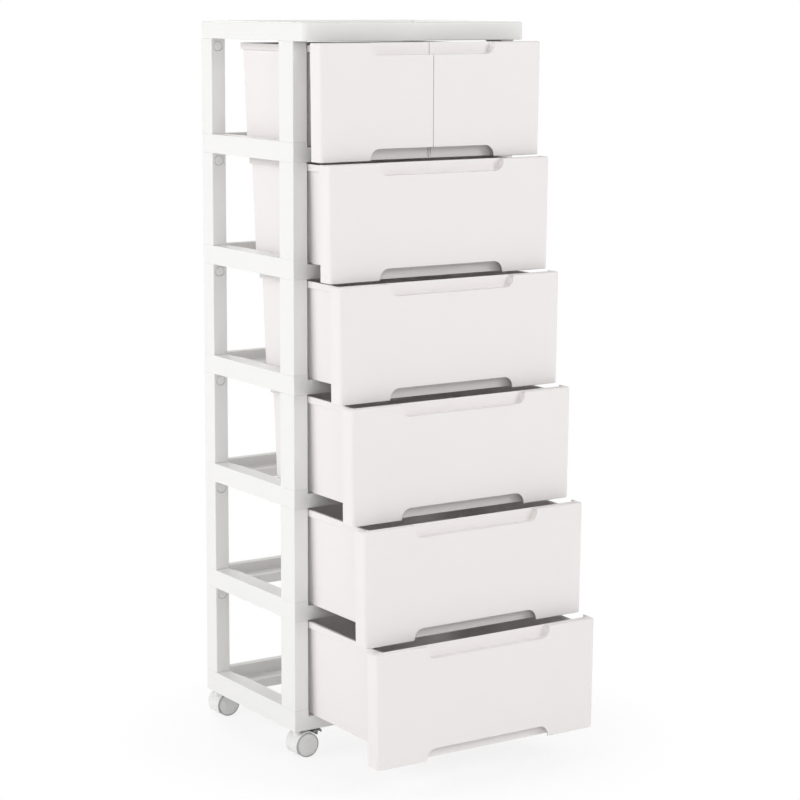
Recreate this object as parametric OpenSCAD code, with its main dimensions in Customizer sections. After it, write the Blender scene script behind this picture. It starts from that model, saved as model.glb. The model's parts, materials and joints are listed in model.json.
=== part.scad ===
// Drawer tower: six tiers of pull-out bins in a snap-together frame on four twin-wheel casters.
// Millimetres. Each piece is drawn with x = 0 on the middle plane, y = 0 on the rear face
// of the frame (the front is towards -y) and z = 0 on the floor.

/* [Frame] */
// Width over the side faces
width = 408; // [390:1:430]
// Depth of the frame, from its rear face to the fronts of the posts
frame_d = 285; // [280:1:310]
// Height from one tier to the next
tier_pitch = 178; // [174:1:186]
// Height of the bottom tray above the floor
base_z = 43.5; // [43.5:0.5:50]
// Width of a post, across the tower
post_w = 25; // [22:0.5:27]
// Depth of a rear post
rear_post_d = 33; // [30:1:40]
// Depth of a front post
front_post_d = 42; // [36:1:48]
// Wall of posts, trays and cover
wall = 2.5; // [2:0.1:3]

/* [Trays] */
// Height of a tray between two tiers
tray_h = 30; // [29:0.5:32]
// Height of the bottom tray
base_h = 34; // [31:0.5:36]
// Height of the side ledges that the drawers slide on
ledge_z = 22; // [21:0.5:23]
// Reach of the side ledges in from the side faces
ledge_w = 46; // [40:1:48]
// Width of the flat tops of the side rails
rail_w = 29; // [27:0.5:31]
// Width of the flat top of the rear rail
rear_rail_w = 15; // [10:0.5:20]
// Height of the rear shelf
shelf_z = 15; // [12:1:17]
// Depth of the rear shelf, from the rear face
shelf_d = 48; // [44:1:50]
// Height of the front bar
bar_z = 18.5; // [16:0.5:18.5]
// Depth of the front bar
bar_d = 22; // [18:1:22]
// Corner radius of the large opening
opening_r = 18; // [6:1:24]
// Diameter of the snap buttons
button_d = 15; // [12:0.5:15]
// Depth of the snap buttons below the end of a post
button_drop = 12; // [10:0.5:13]

/* [Cover] */
// Height of the skirt
cover_h = 28; // [24:1:34]
// Reach of the cover in front of the posts
cover_over = 29; // [26:1:34]
// Radius of the front upright edges
cover_r = 11; // [6:1:14]
// Radius of the rear upright edges
cover_rear_r = 4; // [3.5:0.5:11]
// Width of the raised rim
rim_w = 8; // [6:0.5:12]
// Height of the raised rim
rim_h = 3.5; // [2:0.5:4]

/* [Drawers] */
// How far each tier stands open, from the top down
opened = [46, 72, 102, 135, 171, 206]; // [0:1:218]
// Width of a drawer front at its top edge
front_w = 404.5; // [400:0.5:405]
// Taper of each side of a drawer front
front_taper = 2; // [0:0.5:3]
// Depth of the sides of a drawer front
front_d = 28; // [20:1:28]
// Radius of the upright edges of a drawer front
front_r = 6; // [3:0.5:8]
// Bottom edge of a drawer front above its tray's underside
front_z0 = 3.5; // [3:0.5:5]
// Top edge of a drawer front above its tray's underside
front_z1 = 179.5; // [177:0.5:180]
// Thickness of a drawer front
skin = 2.2; // [1.8:0.1:3]
// Depth of the inner front wall behind the face
inner_y = 13; // [11:0.5:14]
// Wall and floor of the bins
bin_wall = 1.8; // [1.6:0.1:2.4]
// Narrowing of a bin from its rim to its floor, on each side
bin_taper = 4; // [2:0.5:6]
// Top of a bin's rim above its tray's underside
bin_z1 = 175; // [160:0.5:175.5]
// Height of the rim's outer face
bin_rim = 10; // [5:0.5:12]
// Half width of the finger notch
notch_w = 113; // [60:1:130]
// Top of the finger notch above its tray's underside
notch_z = 21; // [18:0.5:26]
// Corner radius of the finger notch
notch_r = 16; // [8:1:17]
// Bottom of the finger scoop above its tray's underside
scoop_z = 161; // [156:0.5:164]
// Corner radius of the finger scoop
scoop_r = 14; // [8:1:15]

/* [Casters] */
// Diameter of a wheel
wheel_d = 39; // [36:0.5:39]
// Width over both wheels
caster_w = 33; // [31:0.5:33]
// Trail of the wheels behind the swivel
trail = 10.75; // [9:0.25:12]
// Radius of the swivel stem
stem_r = 4; // [3.5:0.1:4]
// How far the front casters stand ahead of the middle of the front posts
caster_lead = 6; // [0:0.5:6]

/* [Hidden] */

hw = width / 2;
face_y = -frame_d - cover_over;
depth_all = -face_y + max(opened);
cover_z = base_z + 6 * tier_pitch + 3;
post_cx = hw - post_w / 2;
front_cy = -frame_d + front_post_d / 2;
rear_cy = -rear_post_d / 2;
// clearances: plugs in posts, buttons in their holes, turning fits
fit = 0.25;
button_gap = 0.6;
run = 0.05;
// overlap that joins two shapes into one
lap = 1;
// length of the plugs and spigots, and reach of the plugs' collars
plug_l = 24;
spigot_l = 12;
collar = 1.5;
button_l = 4.4;
button_sink = 0.4;
// thickness of decks, of lips and ribs, and half thickness of webs
deck = 2.4;
lip = 2.2;
web_t = 1.1;
ledge_x = hw - ledge_w;
// where a side rail widens, measured from the post
bend_near = 20;
bend_far = 46;
// corner radii of posts and trays, outside and inside
post_r = 1.5;
bore_r = 1;
// lift of the inner walls and of the webs above a tray's underside
inner_lift = 1;
web_lift = 2;
// stop ribs of the trays, and the drawers' lugs that meet them
stop_x = [58, 112];
lug_y = -44;
lug_t = 2.4;
lug_gap = 2;
lug_lift = 1.4;
// bar that carries the half drawers: half widths of the bar and of its rib, and the rib's
// height and its setback from the front bar
runner_w = 17;
runner_rib = 2.5;
runner_rib_h = 7;
runner_rib_in = 6;
// sockets of the caster stems
socket_r = 8;
socket_top = ledge_z - deck - 1;
// cover
cover_rib_x = [-110, 0, 110];
cover_rib_y = [-95, -190];
cover_rib_z = 12;
// drawers: half width and rear of the rim, step from the rim in to the bin
bin_hw = hw - post_w - 1;
bin_y1 = -24;
bin_r = 12;
bin_step = 4;
bin_front_r = 6;
slide_gap = 0.3;
// half gaps between the two half drawers: faces, inner walls and bins
seam = 0.5;
wall_seam = 0.7;
inner_seam = 1.5;
// setback of a wide inner wall from the ends of the rim
wall_in = 5;
edge_r = 3;
flare = 0.6;
back_gap = 0.3;
// casters
wheel_r = wheel_d / 2;
web_w = 9;
hub_r = 9;
boss_r = 6.3;
axle_r = 3;
hood_r = wheel_r + 2.4;
hood_t = 1.6;
flange_r = 7;
flange_t = 0.8;
// lower ends of the stem and of the swivel boss, above the wheel's centre
stem_end = 6;
boss_end = -4;
pivot = [12, wheel_r];
pivot_r = 2.6;
pin_r = 1.2;
pedal_t = 2.2;
pedal_x = [15.6, 25.5];
body_white = [0.94, 0.94, 0.93];
front_white = [0.91, 0.9, 0.9];
wheel_grey = [0.76, 0.76, 0.76];
steel = [0.6, 0.61, 0.62];
lever_grey = [0.36, 0.37, 0.37];

// Underside of a tier's tray; tier 1 is the top tier
function tray_z(tier) = base_z + (6 - tier) * tier_pitch;
// Top of a tier's tray, where its posts stand
function post_z0(tier) = tray_z(tier) + (tier == 6 ? base_h : tray_h);
// Upper end of a tier's posts
function post_z1(tier) = tier == 1 ? cover_z : tray_z(tier - 1);

// Distance of a caster's stem from the rear face
function caster_y(front) = front ? front_cy - caster_lead : rear_cy;

// Points of an arc, or its corner alone when the radius is 0
function arc(cx, cy, r, a0, a1, n = 7) = r <= 0
    ? [[cx, cy]]
    : [for (i = [0:n]) let (a = a0 + (a1 - a0) * i / n) [cx + r * cos(a), cy + r * sin(a)]];

// Rectangle with its own radius at each corner: front left, front right, back right, back left
function outline(x0, x1, y0, y1, r) = concat(
    arc(x0 + r[0], y0 + r[0], r[0], 180, 270),
    arc(x1 - r[1], y0 + r[1], r[1], 270, 360),
    arc(x1 - r[2], y1 - r[2], r[2], 0, 90),
    arc(x0 + r[3], y1 - r[3], r[3], 90, 180)
);

module slab(x0, x1, y0, y1, z0, z1, r = [0, 0, 0, 0]) {
    translate([0, 0, z0])
        linear_extrude(z1 - z0)
            polygon(outline(x0, x1, y0, y1, r));
}

module block(x0, x1, y0, y1, z0, z1) {
    translate([min(x0, x1), min(y0, y1), z0])
        cube([abs(x1 - x0), abs(y1 - y0), z1 - z0]);
}

// Solid through rings of equal point count: each ring is [height, outline]
module loft(rings) {
    n = len(rings[0][1]);
    m = len(rings);
    polyhedron(
        points = [for (q = rings) for (p = q[1]) [p[0], p[1], q[0]]],
        faces = concat(
            [[for (i = [0:n - 1]) i]],
            [[for (i = [n - 1:-1:0]) (m - 1) * n + i]],
            [for (k = [0:m - 2]) for (i = [0:n - 1]) let (j = (i + 1) % n)
                [k * n + i, k * n + n + i, k * n + n + j, k * n + j]]
        )
    );
}

// Rod along y, centred on y = cy
module rod_y(r, x, cy, z, l, fn = 48) {
    translate([x, cy, z])
        rotate([90, 0, 0])
            cylinder(h = l, r = r, center = true, $fn = fn);
}

// Shifts a piece so that the middle of the whole footprint is at the origin
module place() {
    translate([0, depth_all / 2, 0]) children();
}

// ---------- posts ----------

// A hollow corner post with the hole that the upper piece's snap button fills
module post(tier, side, front) {
    z0 = post_z0(tier);
    z1 = post_z1(tier);
    x0 = side < 0 ? -hw : hw - post_w;
    x1 = x0 + post_w;
    y0 = front ? -frame_d : -rear_post_d;
    y1 = front ? -frame_d + front_post_d : 0;
    hole_y = front ? y1 - wall / 2 : y0 + wall / 2;
    color(body_white)
        difference() {
            slab(x0, x1, y0, y1, z0, z1, [post_r, post_r, post_r, post_r]);
            slab(x0 + wall, x1 - wall, y0 + wall, y1 - wall, z0 - lap, z1 + lap, [bore_r, bore_r, bore_r, bore_r]);
            rod_y(button_d / 2 + button_gap, side * post_cx, hole_y, z1 - button_drop, wall + lap);
        }
}

// ---------- trays and cover ----------

// Tube that fills a post from above, with the snap button on its inward side and
// a collar that seats on the post's end
module plug(side, front, z_top, z_end) {
    cx = side * post_cx;
    cy = front ? front_cy : rear_cy;
    w = post_w / 2 - wall - fit;
    d = (front ? front_post_d : rear_post_d) / 2 - wall - fit;
    out = front ? 1 : -1;
    post_face = cy + out * (d + wall + fit);
    difference() {
        union() {
            block(cx - w, cx + w, cy - d, cy + d, z_end - plug_l, z_top);
            block(cx - w - collar, cx + w + collar, cy - d - collar, cy + d + collar, z_end, z_top);
        }
        block(cx - w + lip, cx + w - lip, cy - d + lip, cy + d - lip, z_end - plug_l - lap, z_top - deck);
    }
    rod_y(button_d / 2, cx, post_face - out * (button_sink + button_l / 2), z_end - button_drop, button_l);
}

// Short tube that fills the lower end of a post
module spigot(side, front, z) {
    cx = side * post_cx;
    cy = front ? front_cy : rear_cy;
    w = post_w / 2 - wall - fit;
    d = (front ? front_post_d : rear_post_d) / 2 - wall - fit;
    difference() {
        block(cx - w, cx + w, cy - d, cy + d, z - lap, z + spigot_l);
        block(cx - w + lip, cx + w - lip, cy - d + lip, cy + d - lip, z, z + spigot_l + lap);
    }
}

// Seat under each post
module pads(z0, z1) {
    for (s = [-1, 1]) {
        block(s * (hw - post_w), s * (hw - lap), -frame_d + lap, -frame_d + front_post_d, z0, z1);
        block(s * (hw - post_w), s * (hw - lap), -rear_post_d, -lap, z0, z1);
    }
}

// Rail width along a bend from y0, at post width, to y1, at full width
function bend(y0, y1, g) = [for (i = [0:8])
    [post_w - g + (rail_w - post_w) * (1 - cos(180 * i / 8)) / 2, y0 + (y1 - y0) * i / 8]];

// Top of a side rail: distance in from the side face, and y. g shrinks it for the hollow.
function rail_points(g) = let (
    rear = bend(-rear_post_d - bend_near, -rear_post_d - bend_far, g),
    fore = bend(front_cy + front_post_d / 2 + bend_near, front_cy + front_post_d / 2 + bend_far, g)
) concat(
    [[lap - g, g - lap], [post_w - g, g - lap]],
    rear,
    [for (i = [8:-1:0]) fore[i]],
    [[post_w - g, -frame_d + lap - g], [lap - g, -frame_d + lap - g]]
);

module rail_slab(s, g, z0, z1) {
    translate([0, 0, z0])
        linear_extrude(z1 - z0)
            polygon([for (p = rail_points(g)) [s * (hw - p[0]), p[1]]]);
}

// Rim, ledges, rear shelf and front bar, open in the middle
module tray_body(z, h) {
    r_in = opening_r;
    r_out = opening_r + lip;
    // outer wall, lower at the front between the posts
    difference() {
        slab(-hw, hw, -frame_d, 0, z, z + h, [post_r, post_r, post_r, post_r]);
        slab(-hw + wall, hw - wall, -frame_d + wall, -wall, z - lap, z + h + lap, [bore_r, bore_r, bore_r, bore_r]);
        block(-ledge_x, ledge_x, -frame_d - lap, -frame_d + wall + lap, z + bar_z, z + h + lap);
        block(-hw + post_w, hw - post_w, -frame_d - lap, -frame_d + wall + lap, z + ledge_z, z + h + lap);
    }
    // side rails, and the ledges inside them
    for (s = [-1, 1]) {
        difference() {
            rail_slab(s, 0, z + ledge_z - deck, z + h);
            rail_slab(s, lip, z, z + h - deck);
        }
        block(
            s * ledge_x, s * (hw - post_w + lap), -frame_d + lap, -rear_rail_w + lip,
            z + ledge_z - deck, z + ledge_z
        );
        block(
            s * ledge_x, s * (ledge_x + lip), -frame_d + lap, -rear_rail_w + lip,
            z + inner_lift, z + ledge_z
        );
    }
    // rear rail
    difference() {
        block(-hw + post_w - lap, hw - post_w + lap, -rear_rail_w, -lap, z + shelf_z - deck, z + h);
        block(-hw, hw, -rear_rail_w + lip, lap, z, z + h - deck);
    }
    // rear shelf and the rounded frame of the opening
    difference() {
        slab(-ledge_x - lap, ledge_x + lap, -frame_d + lap, -rear_rail_w + lip, z + shelf_z - deck, z + shelf_z);
        slab(-ledge_x, ledge_x, -frame_d + bar_d, -shelf_d, z, z + shelf_z + lap, [r_in, r_in, r_in, r_in]);
    }
    difference() {
        slab(
            -ledge_x - lip, ledge_x + lip, -frame_d + bar_d - lip, -shelf_d + lip,
            z, z + shelf_z - lap, [r_out, r_out, r_out, r_out]
        );
        slab(-ledge_x, ledge_x, -frame_d + bar_d, -shelf_d, z - lap, z + shelf_z, [r_in, r_in, r_in, r_in]);
    }
    // front bar with the two ribs that stop the drawers
    block(-ledge_x - lap, ledge_x + lap, -frame_d + lap, -frame_d + bar_d, z + bar_z - deck, z + bar_z);
    block(-ledge_x - lap, ledge_x + lap, -frame_d + bar_d - lip, -frame_d + bar_d, z + shelf_z - lap, z + bar_z);
    for (s = [-1, 1])
        block(
            s * stop_x[0], s * stop_x[1], -frame_d + bar_d - lip, -frame_d + bar_d,
            z + bar_z - lap, z + ledge_z - 2 * slide_gap
        );
}

// Bar along the middle that carries the inner sides of two half drawers
module centre_runner(z) {
    difference() {
        block(-runner_w, runner_w, -frame_d + bar_d - lap, -rear_rail_w + lip, z + inner_lift, z + ledge_z);
        block(-runner_w + lip, runner_w - lip, -frame_d + bar_d + lap, -shelf_d - lip, z, z + ledge_z - deck);
    }
    block(
        -runner_rib, runner_rib, -frame_d + bar_d + runner_rib_in, -shelf_d,
        z + ledge_z - lap, z + ledge_z + runner_rib_h
    );
}

module tray(tier) {
    z = tray_z(tier);
    color(body_white) {
        tray_body(z, tray_h);
        pads(z + ledge_z - deck, z + tray_h);
        for (s = [-1, 1], f = [true, false]) {
            plug(s, f, z + tray_h - lap, z);
            spigot(s, f, z + tray_h);
        }
        if (tier == 1) centre_runner(z);
    }
}

module base_tray() {
    z = base_z;
    color(body_white)
        difference() {
            union() {
                tray_body(z, base_h);
                pads(z + ledge_z - deck, z + base_h);
                for (s = [-1, 1], f = [true, false]) {
                    cy = caster_y(f);
                    spigot(s, f, z + base_h);
                    translate([s * post_cx, cy, z]) cylinder(h = ledge_z - lap, r = socket_r, $fn = 64);
                    block(
                        s * (ledge_x + lap), s * (hw - lap), cy - web_t, cy + web_t,
                        z + web_lift, z + ledge_z - lap
                    );
                    block(
                        s * post_cx - web_t, s * post_cx + web_t, f ? -frame_d + lap : cy,
                        f ? cy : -lap, z + web_lift, z + ledge_z - lap
                    );
                }
            }
            for (s = [-1, 1], f = [true, false])
                translate([s * post_cx, caster_y(f), z - lap])
                    cylinder(h = socket_top + lap, r = stem_r + run, $fn = 64);
        }
}

module top_cover() {
    z0 = cover_z;
    z1 = cover_z + cover_h;
    r = cover_r;
    q = cover_rear_r;
    // each level: height, inset from the full outline
    lv = [[z0, 0.6], [z0 + 1.5, 0], [z1 - edge_r, 0], [z1 - 1.6, 0.5], [z1 - 0.6, 1.5], [z1, edge_r]];
    color(body_white) {
        difference() {
            loft([for (l = lv) [l[0], outline(
                -hw + l[1], hw - l[1], face_y + l[1], -l[1],
                [r - l[1], r - l[1], q - l[1], q - l[1]]
            )]]);
            slab(
                -hw + rim_w, hw - rim_w, face_y + rim_w, -rim_w,
                z1 - rim_h, z1 + lap, [r - 4, r - 4, q - lap, q - lap]
            );
            slab(
                -hw + wall, hw - wall, face_y + wall, -wall,
                z0 - lap, z1 - rim_h - wall, [r - wall, r - wall, q - wall, q - wall]
            );
        }
        for (s = [-1, 1], f = [true, false])
            plug(s, f, z1 - rim_h - lap, z0);
        // ribs under the top
        for (x = cover_rib_x)
            block(x - web_t, x + web_t, face_y + lap, -lap, z0 + cover_rib_z, z1 - rim_h - lap);
        for (y = cover_rib_y)
            block(-hw + lap, hw - lap, y - web_t, y + web_t, z0 + cover_rib_z, z1 - rim_h - lap);
    }
}

// ---------- drawers ----------

// Finger notch at the lower edge, seen from the front
function notch_points() = concat(
    [[-notch_w - flare, front_z0 - lap]],
    arc(-notch_w + notch_r, notch_z - notch_r, notch_r, 180, 90, 9),
    arc(notch_w - notch_r, notch_z - notch_r, notch_r, 90, 0, 9),
    [[notch_w + flare, front_z0 - lap]]
);

// Finger scoop at the upper edge, seen from the front
function scoop_points() = concat(
    [[-notch_w - flare, front_z1 + lap]],
    arc(-notch_w + scoop_r, scoop_z + scoop_r, scoop_r, 180, 270, 9),
    arc(notch_w - scoop_r, scoop_z + scoop_r, scoop_r, 270, 360, 9),
    [[notch_w + flare, front_z1 + lap]]
);

// Outline cut back from in front of the face to the inner wall
module finger_cut(points) {
    translate([0, face_y + inner_y - back_gap, 0])
        rotate([90, 0, 0])
            linear_extrude(inner_y + lap)
                polygon(points);
}

// Drafted shell of a front; g shrinks it for the hollow. A corner of radius 0 is a
// seam, and keeps a straight edge.
module front_form(x0, x1, t, r, g) {
    za = g == 0 ? front_z0 : front_z0 - 2;
    zb = front_z1 - g;
    y1 = g == 0 ? face_y + front_d : face_y + front_d + 5;
    e = [r[0] > 0 ? 1 : 0, r[1] > 0 ? 1 : 0];
    // each level: height, inset of the edges
    lv = g == 0
        ? [[za, 1.2], [za + 1.5, 0], [zb - edge_r, 0], [zb - 1.5, 0.5], [zb - 0.5, 1.5], [zb, edge_r]]
        : [[za, 0], [zb, 0]];
    loft([for (l = lv) let (k = (front_z1 - l[0]) / (front_z1 - front_z0)) [l[0], outline(
        x0 + g + t[0] * k + e[0] * l[1], x1 - g - t[1] * k - e[1] * l[1],
        face_y + g + l[1], y1,
        [e[0] * (r[0] - g - l[1]), e[1] * (r[1] - g - l[1]), 0, 0]
    )]]);
}

// Drafted body of a bin; g shrinks it for the hollow
module bin_form(b0, b1, g) {
    t = bin_taper;
    z0 = ledge_z + slide_gap + g;
    z1 = g == 0 ? bin_z1 - lap : front_z1 + 5;
    k = g == 0 ? 0 : (z1 - bin_z1) / (bin_z1 - ledge_z) * t;
    y0 = face_y + inner_y + g;
    rf = g == 0 ? 0 : bin_front_r;
    rb = bin_r - g;
    loft([
        [z0, outline(b0 + t + g, b1 - t - g, y0, bin_y1 - bin_step - t - g, [rf, rf, rb, rb])],
        [z1, outline(b0 + g - k, b1 - g + k, y0, bin_y1 - bin_step - g + k, [rf, rf, rb, rb])]
    ]);
}

// One drawer, moulded in one piece. The front spans f, the rim spans b, t is the taper
// of the left and right sides of the front, r the radii of its upright edges.
module drawer(tier, f, b, t, r) {
    shut_z = tray_z(tier);
    // the inner walls run up to a seam, and stop short of a rounded edge
    seam0 = r[0] == 0;
    seam1 = r[1] == 0;
    translate([0, -opened[tier - 1], shut_z])
        color(front_white)
            difference() {
                union() {
                    // front
                    difference() {
                        front_form(f[0], f[1], t, r, 0);
                        front_form(f[0], f[1], t, r, skin);
                        block(
                            f[0] + skin, f[1] - skin, face_y + inner_y + bin_wall,
                            face_y + front_d + lap, front_z1 - skin - 2, front_z1 + lap
                        );
                    }
                    // body of the scoop
                    block(
                        seam0 ? wall_seam : -notch_w - skin, seam1 ? -wall_seam : notch_w + skin,
                        face_y + skin - lap / 2, face_y + inner_y + lap / 2, scoop_z - skin, front_z1 - lap
                    );
                    // inner front wall, down to the lower edge
                    block(
                        seam0 ? wall_seam : b[0] + wall_in, seam1 ? -wall_seam : b[1] - wall_in,
                        face_y + inner_y, face_y + inner_y + bin_wall, front_z0 + lap / 2, front_z1 - lap
                    );
                    bin_form(b[0] + bin_step, b[1] - bin_step, 0);
                    // rim
                    slab(
                        b[0], b[1], face_y + inner_y, bin_y1, bin_z1 - bin_rim, bin_z1,
                        [0, 0, bin_r + 3, bin_r + 3]
                    );
                    // lugs that meet the stop ribs
                    for (s = [-1, 1])
                        if (s * stop_x[0] > f[0] && s * stop_x[0] < f[1])
                            block(
                                s * (stop_x[0] + lug_gap), s * (stop_x[1] - lug_gap), lug_y, lug_y + lug_t,
                                bar_z + lug_lift, ledge_z + slide_gap + lap / 2
                            );
                }
                bin_form(b[0] + bin_step, b[1] - bin_step, bin_wall);
                finger_cut(notch_points());
                finger_cut(scoop_points());
            }
}

module drawer_wide(tier) {
    w = front_w / 2;
    drawer(tier, [-w, w], [-bin_hw, bin_hw], [front_taper, front_taper], [front_r, front_r]);
}

module drawer_half(side) {
    w = front_w / 2;
    a = bin_hw;
    if (side < 0)
        drawer(1, [-w, -seam], [-a, -inner_seam], [front_taper, 0], [front_r, 0]);
    else
        drawer(1, [seam, w], [inner_seam, a], [0, front_taper], [0, front_r]);
}

// ---------- casters ----------

// Puts a caster piece at its corner, its wheel centre at the origin of the piece.
// Pieces are drawn trailing towards +x and are mirrored for the right side.
module at_caster(side, front) {
    translate([side * (post_cx - trail), caster_y(front), wheel_r])
        mirror([side < 0 ? 0 : 1, 0, 0])
            children();
}

module stem(side, front) {
    color(steel)
        at_caster(side, front) {
            translate([-trail, 0, stem_end])
                cylinder(h = base_z + socket_top - 0.5 - wheel_r - stem_end, r = stem_r, $fn = 64);
            translate([-trail, 0, base_z - wheel_r - flange_t]) cylinder(h = flange_t, r = flange_r, $fn = 64);
        }
}

// Centre web, hood over the tops of the wheels and the swivel boss
module housing(side, front) {
    color(body_white)
        at_caster(side, front)
            difference() {
                union() {
                    intersection() {
                        difference() {
                            rod_y(hood_r, 0, 0, 0, caster_w, 96);
                            rod_y(hood_r - hood_t, 0, 0, 0, caster_w + 2, 96);
                        }
                        hood_sector(caster_w);
                    }
                    intersection() {
                        rod_y(hood_r - 0.5, 0, 0, 0, web_w, 96);
                        hood_sector(web_w);
                    }
                    rod_y(hub_r, 0, 0, 0, web_w, 64);
                    if (front) {
                        block(4, pivot[0], -web_w / 2, web_w / 2, 6, pivot[1]);
                        rod_y(pivot_r, pivot[0], 0, pivot[1], web_w);
                    }
                    translate([-trail, 0, boss_end])
                        cylinder(h = base_z - wheel_r - flange_t - 0.2 - boss_end, r = boss_r, $fn = 64);
                }
                translate([-trail, 0, stem_end - 0.5]) cylinder(h = 40, r = stem_r + run, $fn = 64);
                rod_y(axle_r + run, 0, 0, 0, web_w + 2);
                if (front) rod_y(pin_r + run, pivot[0], 0, pivot[1], web_w + 2);
            }
}

// Sector that the hood covers, from just past the top round to the rear
module hood_sector(w) {
    rotate([90, 0, 0])
        translate([0, 0, -w / 2])
            linear_extrude(w)
                polygon([[0, 0], [12, 45], [-60, 45], [-60, -13], [-10, -13]]);
}

module axle(side, front) {
    color(steel)
        at_caster(side, front)
            rod_y(axle_r, 0, 0, 0, caster_w - 5);
}

// A wheel closed on its outer side; out is -1 towards the front and 1 towards the rear
module wheel(side, front, out) {
    r = wheel_r;
    w = caster_w / 2 - boss_r - 0.5;
    bore_l = caster_w / 2 - 2 - boss_r - 0.5;
    color(wheel_grey)
        at_caster(side, front)
            rotate([out < 0 ? 90 : -90, 0, 0])
                translate([0, 0, boss_r + 0.5])
                    difference() {
                        // inner face, tread, rounded shoulder, rim, recessed disc and hub cap
                        rotate_extrude($fn = 96)
                            polygon([
                                [0, 0], [r - 1.2, 0], [r - 0.35, 0.35], [r, 1.2],
                                [r, w - 2], [r - 0.6, w - 0.6], [r - 2, w],
                                [r - 3.4, w], [r - 4, w - 0.7], [6.5, w - 0.7],
                                [6, w - 0.2], [0, w - 0.2]
                            ]);
                        translate([0, 0, -1]) cylinder(h = bore_l + 1, r = axle_r + run, $fn = 48);
                    }
}

// Pedal that rocks about the web's pivot and presses on both wheels
module brake(side) {
    z = pivot[1];
    e = web_w / 2 + 0.4;
    w = caster_w / 2 - 1;
    color(lever_grey)
        at_caster(side, true) {
            rod_y(pin_r, pivot[0], 0, z, 2 * e + 2);
            for (s = [-1, 1]) {
                rod_y(pin_r + 1.1, pivot[0], s * (e + w) / 2, z, w - e);
                block(pivot[0], pedal_x[0] + 1.4, s * e, s * w, z + 0.1, z + 0.1 + pedal_t);
                // shoe that meets the wheel
                block(pedal_x[0] + 0.4, pedal_x[0] + 2.9, s * (boss_r + 0.5), s * w, z - 5.3, z + lap);
            }
            block(pedal_x[0], pedal_x[1], -w, w, z + 0.1, z + 0.1 + pedal_t);
            block(pedal_x[1] - 1.5, pedal_x[1], -w, w, z - 2.2, z + 0.1 + pedal_t);
        }
}

place() top_cover();
place() tray(1);  // tray_1
place() tray(2);  // tray_2
place() tray(3);  // tray_3
place() tray(4);  // tray_4
place() tray(5);  // tray_5
place() base_tray();
place() post(1, -1, true);  // post_1_fl
place() post(1, 1, true);  // post_1_fr
place() post(1, -1, false);  // post_1_rl
place() post(1, 1, false);  // post_1_rr
place() post(2, -1, true);  // post_2_fl
place() post(2, 1, true);  // post_2_fr
place() post(2, -1, false);  // post_2_rl
place() post(2, 1, false);  // post_2_rr
place() post(3, -1, true);  // post_3_fl
place() post(3, 1, true);  // post_3_fr
place() post(3, -1, false);  // post_3_rl
place() post(3, 1, false);  // post_3_rr
place() post(4, -1, true);  // post_4_fl
place() post(4, 1, true);  // post_4_fr
place() post(4, -1, false);  // post_4_rl
place() post(4, 1, false);  // post_4_rr
place() post(5, -1, true);  // post_5_fl
place() post(5, 1, true);  // post_5_fr
place() post(5, -1, false);  // post_5_rl
place() post(5, 1, false);  // post_5_rr
place() post(6, -1, true);  // post_6_fl
place() post(6, 1, true);  // post_6_fr
place() post(6, -1, false);  // post_6_rl
place() post(6, 1, false);  // post_6_rr
place() drawer_half(-1);  // drawer_1_left
place() drawer_half(1);  // drawer_1_right
place() drawer_wide(2);  // drawer_2
place() drawer_wide(3);  // drawer_3
place() drawer_wide(4);  // drawer_4
place() drawer_wide(5);  // drawer_5
place() drawer_wide(6);  // drawer_6
place() stem(-1, true);  // stem_fl
place() stem(1, true);  // stem_fr
place() stem(-1, false);  // stem_rl
place() stem(1, false);  // stem_rr
place() housing(-1, true);  // housing_fl
place() housing(1, true);  // housing_fr
place() housing(-1, false);  // housing_rl
place() housing(1, false);  // housing_rr
place() axle(-1, true);  // axle_fl
place() axle(1, true);  // axle_fr
place() axle(-1, false);  // axle_rl
place() axle(1, false);  // axle_rr
place() wheel(-1, true, -1);  // wheel_fl_front
place() wheel(-1, true, 1);  // wheel_fl_back
place() wheel(1, true, -1);  // wheel_fr_front
place() wheel(1, true, 1);  // wheel_fr_back
place() wheel(-1, false, -1);  // wheel_rl_front
place() wheel(-1, false, 1);  // wheel_rl_back
place() wheel(1, false, -1);  // wheel_rr_front
place() wheel(1, false, 1);  // wheel_rr_back
place() brake(-1);  // brake_fl
place() brake(1);  // brake_fr
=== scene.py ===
import json
import math

import bmesh
import bpy
from mathutils import Matrix, Vector


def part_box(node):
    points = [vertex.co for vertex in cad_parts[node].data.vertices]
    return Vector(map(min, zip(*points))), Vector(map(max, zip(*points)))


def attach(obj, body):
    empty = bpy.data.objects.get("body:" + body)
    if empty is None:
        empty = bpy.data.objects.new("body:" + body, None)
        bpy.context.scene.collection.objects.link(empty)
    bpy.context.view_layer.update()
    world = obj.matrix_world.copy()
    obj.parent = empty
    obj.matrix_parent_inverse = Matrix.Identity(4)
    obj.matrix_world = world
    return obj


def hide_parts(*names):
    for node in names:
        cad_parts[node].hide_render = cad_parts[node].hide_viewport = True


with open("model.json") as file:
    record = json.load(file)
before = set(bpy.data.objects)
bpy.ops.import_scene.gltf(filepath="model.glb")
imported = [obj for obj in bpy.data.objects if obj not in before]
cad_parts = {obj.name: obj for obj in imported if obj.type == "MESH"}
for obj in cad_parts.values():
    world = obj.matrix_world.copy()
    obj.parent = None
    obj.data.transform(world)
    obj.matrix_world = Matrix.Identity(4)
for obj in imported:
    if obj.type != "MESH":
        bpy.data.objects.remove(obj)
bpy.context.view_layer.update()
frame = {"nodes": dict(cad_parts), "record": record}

nodes = frame["nodes"]
body_of = {n: b for b, members in frame["record"]["behaviour"]["bodies"].items() for n in members}
scene = bpy.context.scene

# The shapes are in millimetres. x = 0 is the middle plane, y = 0 the rear face of the frame with
# the front towards -y, and z = 0 the floor. DEPTH_SHIFT takes y to the shared frame.
DEPTH_SHIFT = 260
HALF_W = 204
FACE_Y = -314
POST_W = 25
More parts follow.
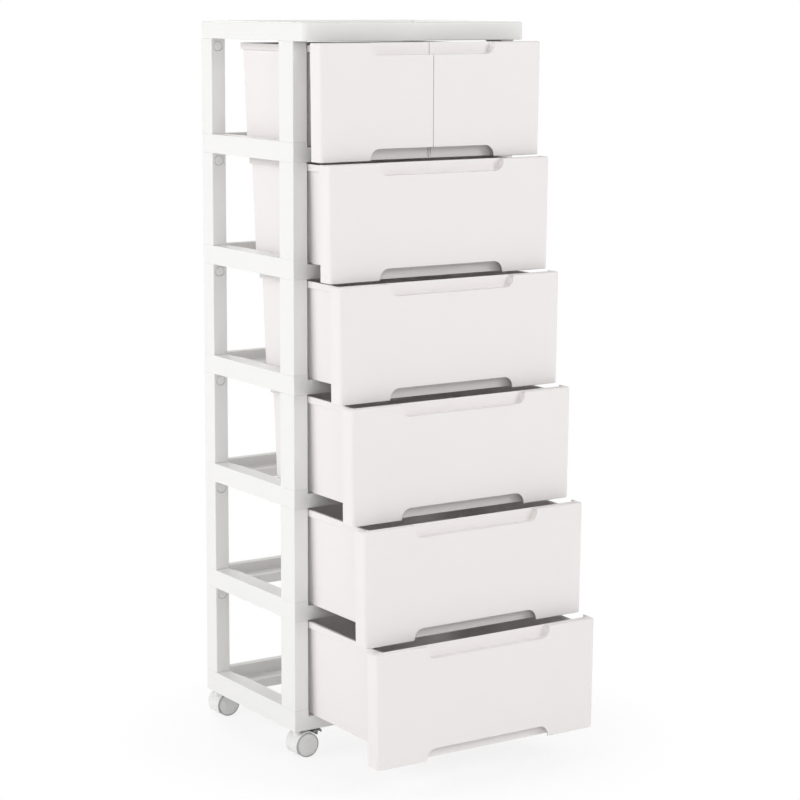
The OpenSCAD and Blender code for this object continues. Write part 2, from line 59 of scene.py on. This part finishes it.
# middle lines of the posts
POST_X = 191.5
FRONT_CY = -264
REAR_CY = -16.5
# how far each tier's drawers stand open, from the top down
OPENED = [46, 72, 102, 135, 171, 206]
TIERS = 6
TIER_H = 178
BASE_Z = 43.5


def tray_z(tier):
    """Underside of the tray of a tier, counted from the top."""
    return BASE_Z + (TIERS - tier) * TIER_H


# ---------------------------------------------------------------- camera

# Fitted to the photograph, which is IMAGE_PX wide; angles in radians, place in metres.
FOCAL_PX = 2331.9
IMAGE_PX = 800
SENSOR = 36
YAW, PITCH, ROLL = 0.58133, 0.15603, 0.00366
CAM_X, CAM_Y, CAM_Z = -1.9967, -3.0485, 1.180
forward = Vector((
    math.sin(YAW) * math.cos(PITCH),
    math.cos(YAW) * math.cos(PITCH),
    -math.sin(PITCH),
))
level = Vector((math.cos(YAW), -math.sin(YAW), 0))
upward = level.cross(forward)
right = level * math.cos(ROLL) + upward * math.sin(ROLL)
up = upward * math.cos(ROLL) - level * math.sin(ROLL)

cam = bpy.data.objects.new("camera", bpy.data.cameras.new("camera"))
scene.collection.objects.link(cam)
cam.matrix_world = Matrix((
    (right.x, up.x, -forward.x, CAM_X),
    (right.y, up.y, -forward.y, CAM_Y),
    (right.z, up.z, -forward.z, CAM_Z),
    (0, 0, 0, 1),
))
cam.data.sensor_width = SENSOR
cam.data.lens = FOCAL_PX * SENSOR / IMAGE_PX
cam.data.shift_y = -0.045
cam.data.clip_start, cam.data.clip_end = 0.1, 60
scene.camera = cam


# ---------------------------------------------------------------- shape kit

# Vertices closer than MERGE are one vertex, and faces that meet within FLAT are one face.
MERGE = 0.002
FLAT = math.radians(0.4)


def work_object(name):
    o = bpy.data.objects.new(name, bpy.data.meshes.new(name))
    scene.collection.objects.link(o)
    return o


work_a, work_b = work_object("work_a"), work_object("work_b")
joiner = work_a.modifiers.new("joiner", "BOOLEAN")
joiner.object = work_b
joiner.solver = "MANIFOLD"


def baked(o):
    """The object's mesh with its modifiers applied."""
    graph = bpy.context.evaluated_depsgraph_get()
    return bpy.data.meshes.new_from_object(o.evaluated_get(graph), depsgraph=graph)


def combine(a, b, how):
    """Boolean of two meshes, which are used up."""
    old = work_a.data, work_b.data
    work_a.data, work_b.data = a, b
    joiner.operation = how
    made = baked(work_a)
    for mesh in old:
        if mesh.users == 0:
            bpy.data.meshes.remove(mesh)
    return made


def union(*parts):
    made = parts[0]
    for p in parts[1:]:
        made = combine(made, p, "UNION")
    return made


def minus(a, *cutters):
    for c in cutters:
        a = combine(a, c, "DIFFERENCE")
    return a


def solid(points, faces):
    """Mesh of a closed solid, with its faces turned outwards."""
    mesh = bpy.data.meshes.new("solid")
    mesh.from_pydata(points, [], faces)
    bm = bmesh.new()
    bm.from_mesh(mesh)
    bmesh.ops.recalc_face_normals(bm, faces=bm.faces)
    bm.to_mesh(mesh)
    bm.free()
    return mesh


def quarter(n):
    """Angles from 0 to 90 degrees in n steps."""
    return [math.radians(90 * i / n) for i in range(n + 1)]


def arc(cx, cy, r, a0, a1, n):
    """Points of an arc from a0 to a1 degrees, or the centre alone where r is 0."""
    if r <= 0:
        return [(cx, cy)]
    turn = [math.radians(a0 + (a1 - a0) * i / n) for i in range(n + 1)]
    return [(cx + r * math.cos(t), cy + r * math.sin(t)) for t in turn]


def outline(x0, x1, y0, y1, r=(0, 0, 0, 0), n=8):
    """Rectangle with its own radius at each corner, from the front left one round
    by the front right one."""
    return (
        arc(x0 + r[0], y0 + r[0], r[0], 180, 270, n)
        + arc(x1 - r[1], y0 + r[1], r[1], 270, 360, n)
        + arc(x1 - r[2], y1 - r[2], r[2], 0, 90, n)
        + arc(x0 + r[3], y1 - r[3], r[3], 90, 180, n)
    )


def loft(rings):
    """Solid through level rings of equal point count: each ring is (height, outline)."""
    n, m = len(rings[0][1]), len(rings)
    points = [(x, y, z) for z, ring in rings for x, y in ring]
    faces = [list(range(n))[::-1], [(m - 1) * n + i for i in range(n)]]
    for k in range(m - 1):
        for i in range(n):
            j = (i + 1) % n
            faces.append([k * n + i, k * n + j, k * n + n + j, k * n + n + i])
    return solid(points, faces)


def slab(x0, x1, y0, y1, z0, z1, r=(0, 0, 0, 0), n=8):
    ring = outline(x0, x1, y0, y1, r, n)
    return loft([(z0, ring), (z1, ring)])


def block(x0, x1, y0, y1, z0, z1):
    return slab(min(x0, x1), max(x0, x1), min(y0, y1), max(y0, y1), z0, z1)


def lathe_y(profile, x, cy, z, out=1, closed=False, sides=96):
    """Profile of (distance along the axis, radius) turned round a line along y.
    A closed profile makes a ring."""
    turn = [2 * math.pi * i / sides for i in range(sides)]
    points = [
        (x + r * math.cos(a), cy + out * d, z + r * math.sin(a)) for d, r in profile for a in turn
    ]
    m = len(profile)
    ends = [list(range(sides)), [(m - 1) * sides + i for i in range(sides)][::-1]]
    faces = [] if closed else ends
    for k in range(m if closed else m - 1):
        a, b = k * sides, (k + 1) % m * sides
        for i in range(sides):
            j = (i + 1) % sides
            faces.append([a + i, b + i, b + j, a + j])
    return solid(points, faces)


def cut_squarely(bm, cuts):
    """Divides a mesh by planes and leaves their edges as the only ones within its flat faces."""
    kept = set()
    for point, normal in cuts:
        every = list(bm.verts) + list(bm.edges) + list(bm.faces)
        made = bmesh.ops.bisect_plane(
            bm, geom=every, dist=0.01, plane_co=point, plane_no=normal,
        )
        kept.update(made["geom_cut"])
    for g in list(kept):
        if isinstance(g, bmesh.types.BMEdge) and g.is_valid:
            kept.update(g.verts)
    bmesh.ops.dissolve_limit(
        bm, angle_limit=FLAT,
        verts=[v for v in bm.verts if v not in kept],
        edges=[e for e in bm.edges if e not in kept],
    )
    straight = [v for v in bm.verts if len(v.link_edges) == 2 and v.calc_edge_angle(1) < FLAT]
    bmesh.ops.dissolve_verts(bm, verts=straight)


def softened(mesh, width, segments=2, weight=None, sharp=30, cuts=()):
    """Rounds every edge that is sharper than an angle, by a bevel of the given width.
    weight takes the middle of an edge and gives its share of the width. cuts are planes,
    as (point, normal), that divide flat faces with holes squarely."""
    bm = bmesh.new()
    bm.from_mesh(mesh)
    bmesh.ops.remove_doubles(bm, verts=bm.verts, dist=MERGE)
    bmesh.ops.dissolve_degenerate(bm, edges=bm.edges, dist=MERGE)
    bmesh.ops.dissolve_limit(bm, angle_limit=FLAT, verts=bm.verts, edges=bm.edges)
    if cuts:
        cut_squarely(bm, cuts)
    layer = bm.edges.layers.float.new("bevel_weight_edge")
    for e in bm.edges:
        if len(e.link_faces) == 2 and e.calc_face_angle(0) > math.radians(sharp):
            middle = (e.verts[0].co + e.verts[1].co) / 2
            e[layer] = 1.0 if weight is None else weight(middle)
    for f in bm.faces:
        f.smooth = True
    made = bpy.data.meshes.new("softened")
    bm.to_mesh(made)
    bm.free()
    o = work_object("soften")
    o.data = made
    bevel = o.modifiers.new("bevel", "BEVEL")
    bevel.limit_method = "WEIGHT"
    bevel.width = width
    bevel.segments = segments
    bevel.use_clamp_overlap = False
    bevel.miter_outer = "MITER_ARC"
    normals = o.modifiers.new("normals", "WEIGHTED_NORMAL")
    normals.mode = "FACE_AREA"
    normals.keep_sharp = True
    out = baked(o)
    bpy.data.objects.remove(o)
    bpy.data.meshes.remove(made)
    return out


def piece(mesh, node, material, shift=(0, 0), kind="moulding"):
    """Puts a finished mesh in the shared frame, in place of its CAD node.
    shift moves it in y and z."""
    place = Matrix.Translation((0, DEPTH_SHIFT + shift[0], shift[1]))
    mesh.transform(Matrix.Scale(0.001, 4) @ place)
    mesh.materials.clear()
    mesh.materials.append(material)
    o = bpy.data.objects.new(f"{node}_{kind}", mesh)
    scene.collection.objects.link(o)
    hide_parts(node)
    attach(o, body_of[node])
    return o


def cad_copy(node):
    """Copy of a CAD node's mesh in millimetres, in the local frame."""
    mesh = nodes[node].data.copy()
    mesh.transform(Matrix.Translation((0, -DEPTH_SHIFT, 0)) @ Matrix.Scale(1000, 4))
    return mesh


# ---------------------------------------------------------------- materials

GLOSS_SPREAD = 0.05


def moulded(name, colour, roughness, grain=0.5, cloud=0.012, speck=1500, depth=0.00004):
    """Injection-moulded plastic: a fine spark-eroded grain, faint flow clouds and uneven gloss.
    cloud is the share by which the colour varies, speck the grain's scale and depth its height."""
    m = bpy.data.materials.new(name)
    m.use_nodes = True
    t = m.node_tree
    shader = t.nodes["Principled BSDF"]
    shader.inputs["IOR"].default_value = 1.49
    shader.inputs["Specular IOR Level"].default_value = 0.4
    place = t.nodes.new("ShaderNodeTexCoord")

    clouds = t.nodes.new("ShaderNodeTexNoise")
    clouds.inputs["Scale"].default_value = 9
    clouds.inputs["Detail"].default_value = 3
    clouds.inputs["Roughness"].default_value = 0.55
    t.links.new(place.outputs["Object"], clouds.inputs["Vector"])
    tint = t.nodes.new("ShaderNodeMix")
    tint.data_type = "RGBA"
    tint.inputs["A"].default_value = (*[c * (1 - cloud) for c in colour], 1)
    tint.inputs["B"].default_value = (*[min(1, c * (1 + cloud)) for c in colour], 1)
    t.links.new(clouds.outputs["Fac"], tint.inputs["Factor"])
    t.links.new(tint.outputs["Result"], shader.inputs["Base Color"])

    gloss = t.nodes.new("ShaderNodeTexNoise")
    gloss.inputs["Scale"].default_value = 55
    gloss.inputs["Detail"].default_value = 4
    t.links.new(place.outputs["Object"], gloss.inputs["Vector"])
    spread = t.nodes.new("ShaderNodeMapRange")
    spread.inputs["From Min"].default_value = 0.3
    spread.inputs["From Max"].default_value = 0.7
    spread.inputs["To Min"].default_value = roughness - GLOSS_SPREAD
    spread.inputs["To Max"].default_value = roughness + GLOSS_SPREAD
    t.links.new(gloss.outputs["Fac"], spread.inputs["Value"])
    t.links.new(spread.outputs["Result"], shader.inputs["Roughness"])

    pits = t.nodes.new("ShaderNodeTexVoronoi")
    pits.inputs["Scale"].default_value = speck
    t.links.new(place.outputs["Object"], pits.inputs["Vector"])
    peel = t.nodes.new("ShaderNodeTexNoise")
    peel.inputs["Scale"].default_value = speck / 3
    peel.inputs["Detail"].default_value = 3
    t.links.new(place.outputs["Object"], peel.inputs["Vector"])
    relief = t.nodes.new("ShaderNodeMath")
    relief.operation = "ADD"
    t.links.new(pits.outputs["Distance"], relief.inputs[0])
    t.links.new(peel.outputs["Fac"], relief.inputs[1])
    bump = t.nodes.new("ShaderNodeBump")
    bump.inputs["Strength"].default_value = grain
    bump.inputs["Distance"].default_value = depth
    t.links.new(relief.outputs["Value"], bump.inputs["Height"])
    t.links.new(bump.outputs["Normal"], shader.inputs["Normal"])
    return m


def brushed_steel(name):
    """Zinc-plated steel with fine level marks."""
    m = bpy.data.materials.new(name)
    m.use_nodes = True
    t = m.node_tree
    shader = t.nodes["Principled BSDF"]
    shader.inputs["Metallic"].default_value = 1
    place = t.nodes.new("ShaderNodeTexCoord")
    stretch = t.nodes.new("ShaderNodeMapping")
    stretch.inputs["Scale"].default_value = (300, 300, 3000)
    t.links.new(place.outputs["Object"], stretch.inputs["Vector"])
    marks = t.nodes.new("ShaderNodeTexNoise")
    marks.inputs["Scale"].default_value = 1
    marks.inputs["Detail"].default_value = 4
    t.links.new(stretch.outputs["Vector"], marks.inputs["Vector"])
    tint = t.nodes.new("ShaderNodeMix")
    tint.data_type = "RGBA"
    tint.inputs["A"].default_value = (0.5, 0.51, 0.52, 1)
    tint.inputs["B"].default_value = (0.68, 0.68, 0.68, 1)
    t.links.new(marks.outputs["Fac"], tint.inputs["Factor"])
    t.links.new(tint.outputs["Result"], shader.inputs["Base Color"])
    spread = t.nodes.new("ShaderNodeMapRange")
    spread.inputs["To Min"].default_value = 0.22
    spread.inputs["To Max"].default_value = 0.4
    t.links.new(marks.outputs["Fac"], spread.inputs["Value"])
    t.links.new(spread.outputs["Result"], shader.inputs["Roughness"])
    return m


frame_white = moulded("frame_white", (0.876, 0.873, 0.86), 0.46, grain=0.45)
drawer_white = moulded("drawer_white", (0.872, 0.838, 0.83), 0.52, grain=0.6)
caster_white = moulded("caster_white", (0.86, 0.86, 0.855), 0.28, grain=0.2)
wheel_grey = moulded("wheel_grey", (0.87, 0.87, 0.86), 0.4, grain=0.3)
tread_grey = moulded("tread_grey", (0.6, 0.6, 0.6), 0.55, grain=0.6, cloud=0.03)
pedal_grey = moulded("pedal_grey", (0.29, 0.295, 0.295), 0.42, grain=0.6, cloud=0.06)
steel = brushed_steel("steel")


# ---------------------------------------------------------------- drawers

# A drawer is built shut, with z counted from the underside of its tray.
# front: height, depth, wall, distance of the inner wall behind the face
FRONT_W = 404.5
FRONT_Z0, FRONT_Z1 = 3.5, 179.5
FRONT_D, SKIN, INNER_Y = 28, 2.2, 13
FRONT_DRAFT, FRONT_R = 2, 6
EDGE_LOW, EDGE_TOP = 1.2, 3
# bin: floor, top and rear, wall, draft, corner radius, and the step out to its rim
BIN_Z0, BIN_Z1, BIN_Y1 = 22.3, 175, -24
BIN_WALL, BIN_TAPER, BIN_R = 1.8, 4, 12
BIN_STEP, BIN_RIM, RIM_R = 4, 10, 15
BIN_SIDE_GAP = 1
# finger notch below and finger scoop above, both NOTCH_W to each side of the middle
NOTCH_W, NOTCH_Z, NOTCH_R, NOTCH_FILLET = 113, 21, 16, 1.2
SCOOP_Z, SCOOP_R, SCOOP_FILLET = 161, 14, 2.6
# lugs under the bin that stop the drawer at the ribs of the front bar
LUG_X, LUG_Y, LUG_Z = (60, 110), (-44, -41.6), (19.9, 22.8)
# half the seam between the two top drawers, at their fronts and at their rims
SEAM, RIM_SEAM = 0.5, 1.5
# inner walls stop short of a seam and of the rim's corners, and of the top edge
SEAM_BACK, WALL_BACK, TOP_BACK = 0.2, 5, 1


def fillet_levels(z, r, n):
    """(height, inset) of a rounded lower edge of radius r that starts at z."""
    return [(z + r * (1 - math.cos(a)), r * (1 - math.sin(a))) for a in quarter(n)]


def front_form(x0, x1, taper, r, g):
    """Drafted front with rounded edges; g shrinks it for the hollow, which is open below
    and behind. taper and r hold the left and the right side; a side with r = 0 is a seam."""
    past_low, past_back = (0, 0) if g == 0 else (2, 5)
    za = FRONT_Z0 - past_low
    zb = FRONT_Z1 - g
    y1 = FACE_Y + FRONT_D + past_back
    e = [1 if q > 0 else 0 for q in r]
    if g == 0:
        levels = fillet_levels(za, EDGE_LOW, 4)
        for a in quarter(6):
            levels.append((zb - EDGE_TOP + EDGE_TOP * math.sin(a), EDGE_TOP * (1 - math.cos(a))))
    else:
        levels = [(za, 0), (zb - 2, 0), (zb - 0.6, 0.6), (zb, 2)]
    rings = []
    for z, inset in levels:
        k = (FRONT_Z1 - z) / (FRONT_Z1 - FRONT_Z0)
        rings.append((z, outline(
            x0 + g + taper[0] * k + e[0] * inset,
            x1 - g - taper[1] * k - e[1] * inset,
            FACE_Y + g + inset,
            y1,
            (e[0] * (r[0] - g - inset * 0.9), e[1] * (r[1] - g - inset * 0.9), 0, 0),
        )))
    return loft(rings)


def bin_form(b0, b1, g):
    """Drafted bin with a rounded floor edge; g shrinks it for the hollow, which is open above
    and has wider fillets."""
    z0 = BIN_Z0 + g
    z1 = BIN_Z1 - TOP_BACK if g == 0 else FRONT_Z1 + 5
    y0 = FACE_Y + INNER_Y + g
    front_r, floor_r = (0.6, 2.2) if g == 0 else (6, 4)
    rings = []
    for z, inset in fillet_levels(z0, floor_r, 5) + [(z1, 0)]:
        k = BIN_TAPER * (BIN_Z1 - z) / (BIN_Z1 - BIN_Z0)
        front_inset = 0 if g == 0 else inset
        rear_r = max(BIN_R - g - inset, 2)
        rings.append((z, outline(
            b0 + g + k + inset,
            b1 - g - k - inset,
            y0 + front_inset,
            BIN_Y1 - BIN_STEP - g - k - inset,
            (front_r, front_r, rear_r, rear_r),
        )))
    return loft(rings)


def finger_cut(z0, z1, radii, fillet):
    """Recess through a front, as deep as the inner wall, with a fillet round its rear end.
    Its ends are rounded by radii: lower left, lower right, upper right, upper left."""
    rings = []
    for depth, inset in fillet_levels(0, fillet, 5):
        low, high = (inset, 0) if radii[0] else (0, inset)
        corners = [max(q - inset, 0) for q in radii]
        ring = outline(-NOTCH_W + inset, NOTCH_W - inset, z0 + low, z1 - high, corners, 12)
        rings.append((depth, ring))
    rings.append((INNER_Y + 4, rings[-1][1]))
    mesh = loft(rings)
    # it stops 0.3 mm in front of the inner wall, so that the two never share a plane
    rear = Matrix.Translation((0, FACE_Y + INNER_Y - 0.3, 0))
    mesh.transform(rear @ Matrix.Rotation(math.pi / 2, 4, "X"))
    return mesh


def notch_cutter():
    return finger_cut(FRONT_Z0 - 4, NOTCH_Z, (0, 0, NOTCH_R, NOTCH_R), NOTCH_FILLET)


def scoop_cutter():
    return finger_cut(SCOOP_Z, FRONT_Z1 + 4, (SCOOP_R, SCOOP_R, 0, 0), SCOOP_FILLET)


def drawer_weight(p):
    """Share of the rounding: more at the front edges of the notch and the scoop."""
    recessed = abs(p.x) < NOTCH_W + 2 and (p.z < NOTCH_Z + 1 or p.z > SCOOP_Z - 1)
    return 0.8 if recessed and p.y < FACE_Y + 1 else 0.45


def drawer(f, b, taper, r):
    """One drawer. The front spans f, the rim spans b; a side of the front with r = 0 is a seam."""
    wall0 = f[0] + SEAM_BACK if r[0] == 0 else b[0] + WALL_BACK
    wall1 = f[1] - SEAM_BACK if r[1] == 0 else b[1] - WALL_BACK
    body0 = f[0] + SEAM_BACK if r[0] == 0 else -NOTCH_W - SKIN
    body1 = f[1] - SEAM_BACK if r[1] == 0 else NOTCH_W + SKIN
    inner = FACE_Y + INNER_Y
    top = FRONT_Z1 - TOP_BACK
    behind_wall = block(
        f[0] + SKIN, f[1] - SKIN, inner + BIN_WALL, FACE_Y + FRONT_D + 1,
        FRONT_Z1 - SKIN - 2, FRONT_Z1 + 1,
    )
    shell = minus(
        front_form(f[0], f[1], taper, r, 0),
        front_form(f[0], f[1], taper, r, SKIN),
        behind_wall,
    )
    parts = [
        shell,
        block(body0, body1, FACE_Y + SKIN - 0.5, inner + 0.5, SCOOP_Z - SKIN, top),
        block(wall0, wall1, inner, inner + BIN_WALL, FRONT_Z0 + 0.5, top),
        bin_form(b[0] + BIN_STEP, b[1] - BIN_STEP, 0),
        slab(b[0], b[1], inner, BIN_Y1, BIN_Z1 - BIN_RIM, BIN_Z1, (0, 0, RIM_R, RIM_R)),
    ]
    for side in (-1, 1):
        if f[0] < side * LUG_X[0] < f[1]:
            parts.append(block(side * LUG_X[0], side * LUG_X[1], *LUG_Y, *LUG_Z))
    made = minus(
        union(*parts),
        bin_form(b[0] + BIN_STEP, b[1] - BIN_STEP, BIN_WALL),
        notch_cutter(),
        scoop_cutter(),
    )
    return softened(made, 1.0, 3, drawer_weight)


def place_drawer(mesh, node, tier):
    shift = (-OPENED[tier - 1], tray_z(tier))
    piece(mesh, node, drawer_white, shift)


half = FRONT_W / 2
rim = HALF_W - POST_W - BIN_SIDE_GAP
wide = drawer((-half, half), (-rim, rim), (FRONT_DRAFT, FRONT_DRAFT), (FRONT_R, FRONT_R))
for tier in range(2, TIERS + 1):
    place_drawer(wide.copy(), f"drawer_{tier}", tier)
left = drawer((-half, -SEAM), (-rim, -RIM_SEAM), (FRONT_DRAFT, 0), (FRONT_R, 0))
place_drawer(left, "drawer_1_left", 1)
other = drawer((SEAM, half), (RIM_SEAM, rim), (0, FRONT_DRAFT), (0, FRONT_R))
place_drawer(other, "drawer_1_right", 1)


# ---------------------------------------------------------------- frame

# planes through the posts' middles and through the trays' openings
CUTS = [(Vector((x, 0, 0)), Vector((1, 0, 0))) for x in (-POST_X, -85, 85, POST_X)]
CUTS += [(Vector((0, y, 0)), Vector((0, 1, 0))) for y in (FRONT_CY, REAR_CY)]


def frame_weight(node):
    """Function for the share of the rounding of a node: the whole width at a post's two ends."""
    z0, z1 = [v[2] * 1000 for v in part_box(node)]
    if node.startswith("post_"):
        return lambda p: 1.0 if p.z < z0 + 0.1 or p.z > z1 - 0.1 else 0.6
    return lambda p: 0.6


for node in nodes:
    if node.startswith(("tray_", "base_tray", "post_", "top_cover")):
        mesh = softened(cad_copy(node), 0.9, 3, frame_weight(node), cuts=CUTS)
        piece(mesh, node, frame_white)


# ---------------------------------------------------------------- casters

for node in nodes:
    if node.startswith("housing_"):
        piece(softened(cad_copy(node), 0.5, 3), node, caster_white)
    elif node.startswith("brake_"):
        piece(softened(cad_copy(node), 0.5, 3), node, pedal_grey)
    elif node.startswith(("stem_", "axle_")):
        piece(softened(cad_copy(node), 0.2, 2), node, steel)

WHEEL_R, WHEEL_X = 19.5, 180.75
WHEEL_Y = {"f": -270, "r": REAR_CY}
# profiles from the inner face outwards: (distance along the axle, radius)
DISC = [
    (7, 18.3), (14.4, 18.3), (14.4, 17.7), (15.6, 17.7), (16.1, 17.4), (16.3, 16.8),
    (16.15, 7.4), (15.8, 7), (15.8, 6.6), (16.2, 6.2), (16.3, 5.6),
]
TREAD = [
    (6.8, 18.2), (6.8, 19), (7.4, 19.5), (15.2, 19.5),
    (16, 19.2), (16.4, 18.7), (16.4, 18.4), (16.1, 18.2),
]
for corner in ("fl", "fr", "rl", "rr"):
    x = WHEEL_X if corner[1] == "r" else -WHEEL_X
    y = WHEEL_Y[corner[0]]
    for end, out in (("front", -1), ("back", 1)):
        node = f"wheel_{corner}_{end}"
        for kind, profile, material in (("disc", DISC, wheel_grey), ("tread", TREAD, tread_grey)):
            turned = lathe_y(profile, x, y, WHEEL_R, out, kind == "tread")
            mesh = softened(turned, 0.15, 2, sharp=50)
            piece(mesh, node, material, kind=kind)

for o in (work_a, work_b):
    bpy.data.objects.remove(o)


# ---------------------------------------------------------------- floor and light

# Near the tower the floor shows more of its lit grey, which keeps the real shadow, and is a
# painted
# pool of shade, darker than further out, where it turns into the plain white backdrop:
# distances from the middle in metres, and the share of white near the tower.
PAINTED_SHADE_R, WHITE_R = 0.27, 0.5
WHITE_SHARE = 0.82
FLOOR_GREY = 0.95
FLOOR_HALF = 8
AMBIENT = 0.41


def floor_material():
    m = bpy.data.materials.new("floor")
    m.use_nodes = True
    t = m.node_tree
    t.nodes.remove(t.nodes["Principled BSDF"])
    out = t.nodes["Material Output"]
    path = t.nodes.new("ShaderNodeLightPath")
    seen = t.nodes.new("ShaderNodeMath")
    seen.operation = "MAXIMUM"
    t.links.new(path.outputs["Is Camera Ray"], seen.inputs[0])
    t.links.new(path.outputs["Is Glossy Ray"], seen.inputs[1])
    place = t.nodes.new("ShaderNodeTexCoord")
    reach = t.nodes.new("ShaderNodeVectorMath")
    reach.operation = "LENGTH"
    t.links.new(place.outputs["Object"], reach.inputs[0])
    # painted shade: less white near the tower, so the floor there is darker than further out,
    # besides its real shadow
    painted_pool_fade = t.nodes.new("ShaderNodeMapRange")
    painted_pool_fade.interpolation_type = "SMOOTHSTEP"
    painted_pool_fade.inputs["From Min"].default_value = PAINTED_SHADE_R
    painted_pool_fade.inputs["From Max"].default_value = WHITE_R
    painted_pool_fade.inputs["To Min"].default_value = WHITE_SHARE
    painted_pool_fade.inputs["To Max"].default_value = 1
    t.links.new(reach.outputs["Value"], painted_pool_fade.inputs["Value"])
    share = t.nodes.new("ShaderNodeMath")
    share.operation = "MULTIPLY"
    t.links.new(painted_pool_fade.outputs["Result"], share.inputs[0])
    t.links.new(seen.outputs["Value"], share.inputs[1])
    diffuse = t.nodes.new("ShaderNodeBsdfDiffuse")
    diffuse.inputs["Color"].default_value = (FLOOR_GREY, FLOOR_GREY, FLOOR_GREY, 1)
    white = t.nodes.new("ShaderNodeEmission")
    white.inputs["Color"].default_value = (1, 1, 1, 1)
    white.inputs["Strength"].default_value = 1
    mix = t.nodes.new("ShaderNodeMixShader")
    t.links.new(share.outputs["Value"], mix.inputs["Fac"])
    t.links.new(diffuse.outputs["BSDF"], mix.inputs[1])
    t.links.new(white.outputs["Emission"], mix.inputs[2])
    t.links.new(mix.outputs["Shader"], out.inputs["Surface"])
    return m


ground = bpy.data.meshes.new("floor")
h = FLOOR_HALF
ground.from_pydata([(-h, -h, 0), (h, -h, 0), (h, h, 0), (-h, h, 0)], [], [(0, 1, 2, 3)])
ground.materials.append(floor_material())
floor = bpy.data.objects.new("floor", ground)
scene.collection.objects.link(floor)

world = bpy.data.worlds.new("studio")
scene.world = world
world.use_nodes = True
tree = world.node_tree
back = tree.nodes["Background"]
back.inputs["Color"].default_value = (1, 1, 1, 1)
back.inputs["Strength"].default_value = AMBIENT
seen = tree.nodes.new("ShaderNodeBackground")
seen.inputs["Color"].default_value = (1, 1, 1, 1)
seen.inputs["Strength"].default_value = 1
path = tree.nodes.new("ShaderNodeLightPath")
either = tree.nodes.new("ShaderNodeMath")
either.operation = "MAXIMUM"
tree.links.new(path.outputs["Is Camera Ray"], either.inputs[0])
tree.links.new(path.outputs["Is Transmission Ray"], either.inputs[1])
mixed = tree.nodes.new("ShaderNodeMixShader")
tree.links.new(either.outputs["Value"], mixed.inputs["Fac"])
tree.links.new(back.outputs["Background"], mixed.inputs[1])
tree.links.new(seen.outputs["Background"], mixed.inputs[2])
tree.links.new(mixed.outputs["Shader"], tree.nodes["World Output"].inputs["Surface"])


def softbox(name, place, target, size, power):
    """Square lamp at a place, turned to a target; metres and watts."""
    data = bpy.data.lights.new(name, "AREA")
    data.shape = "RECTANGLE"
    data.size, data.size_y = size
    data.energy = power
    o = bpy.data.objects.new(name, data)
    scene.collection.objects.link(o)
    o.location = place
    o.rotation_euler = (Vector(target) - Vector(place)).to_track_quat("-Z", "Y").to_euler()


softbox("side", (-4.2, 0.8, 2.4), (0, 0, 0.4), (2.6, 2.6), 96)
softbox("front_left", (-1.4, -3.8, 1.5), (0, 0, 0.4), (2.4, 2.4), 25)
softbox("front_right", (2.8, -4.0, 3.6), (0, 0, 0.5), (2.2, 2.2), 108)
softbox("rear", (0.9, 4.2, 3.2), (0, 0, 0.4), (2.4, 2.4), 60)

scene.view_settings.view_transform = "Standard"
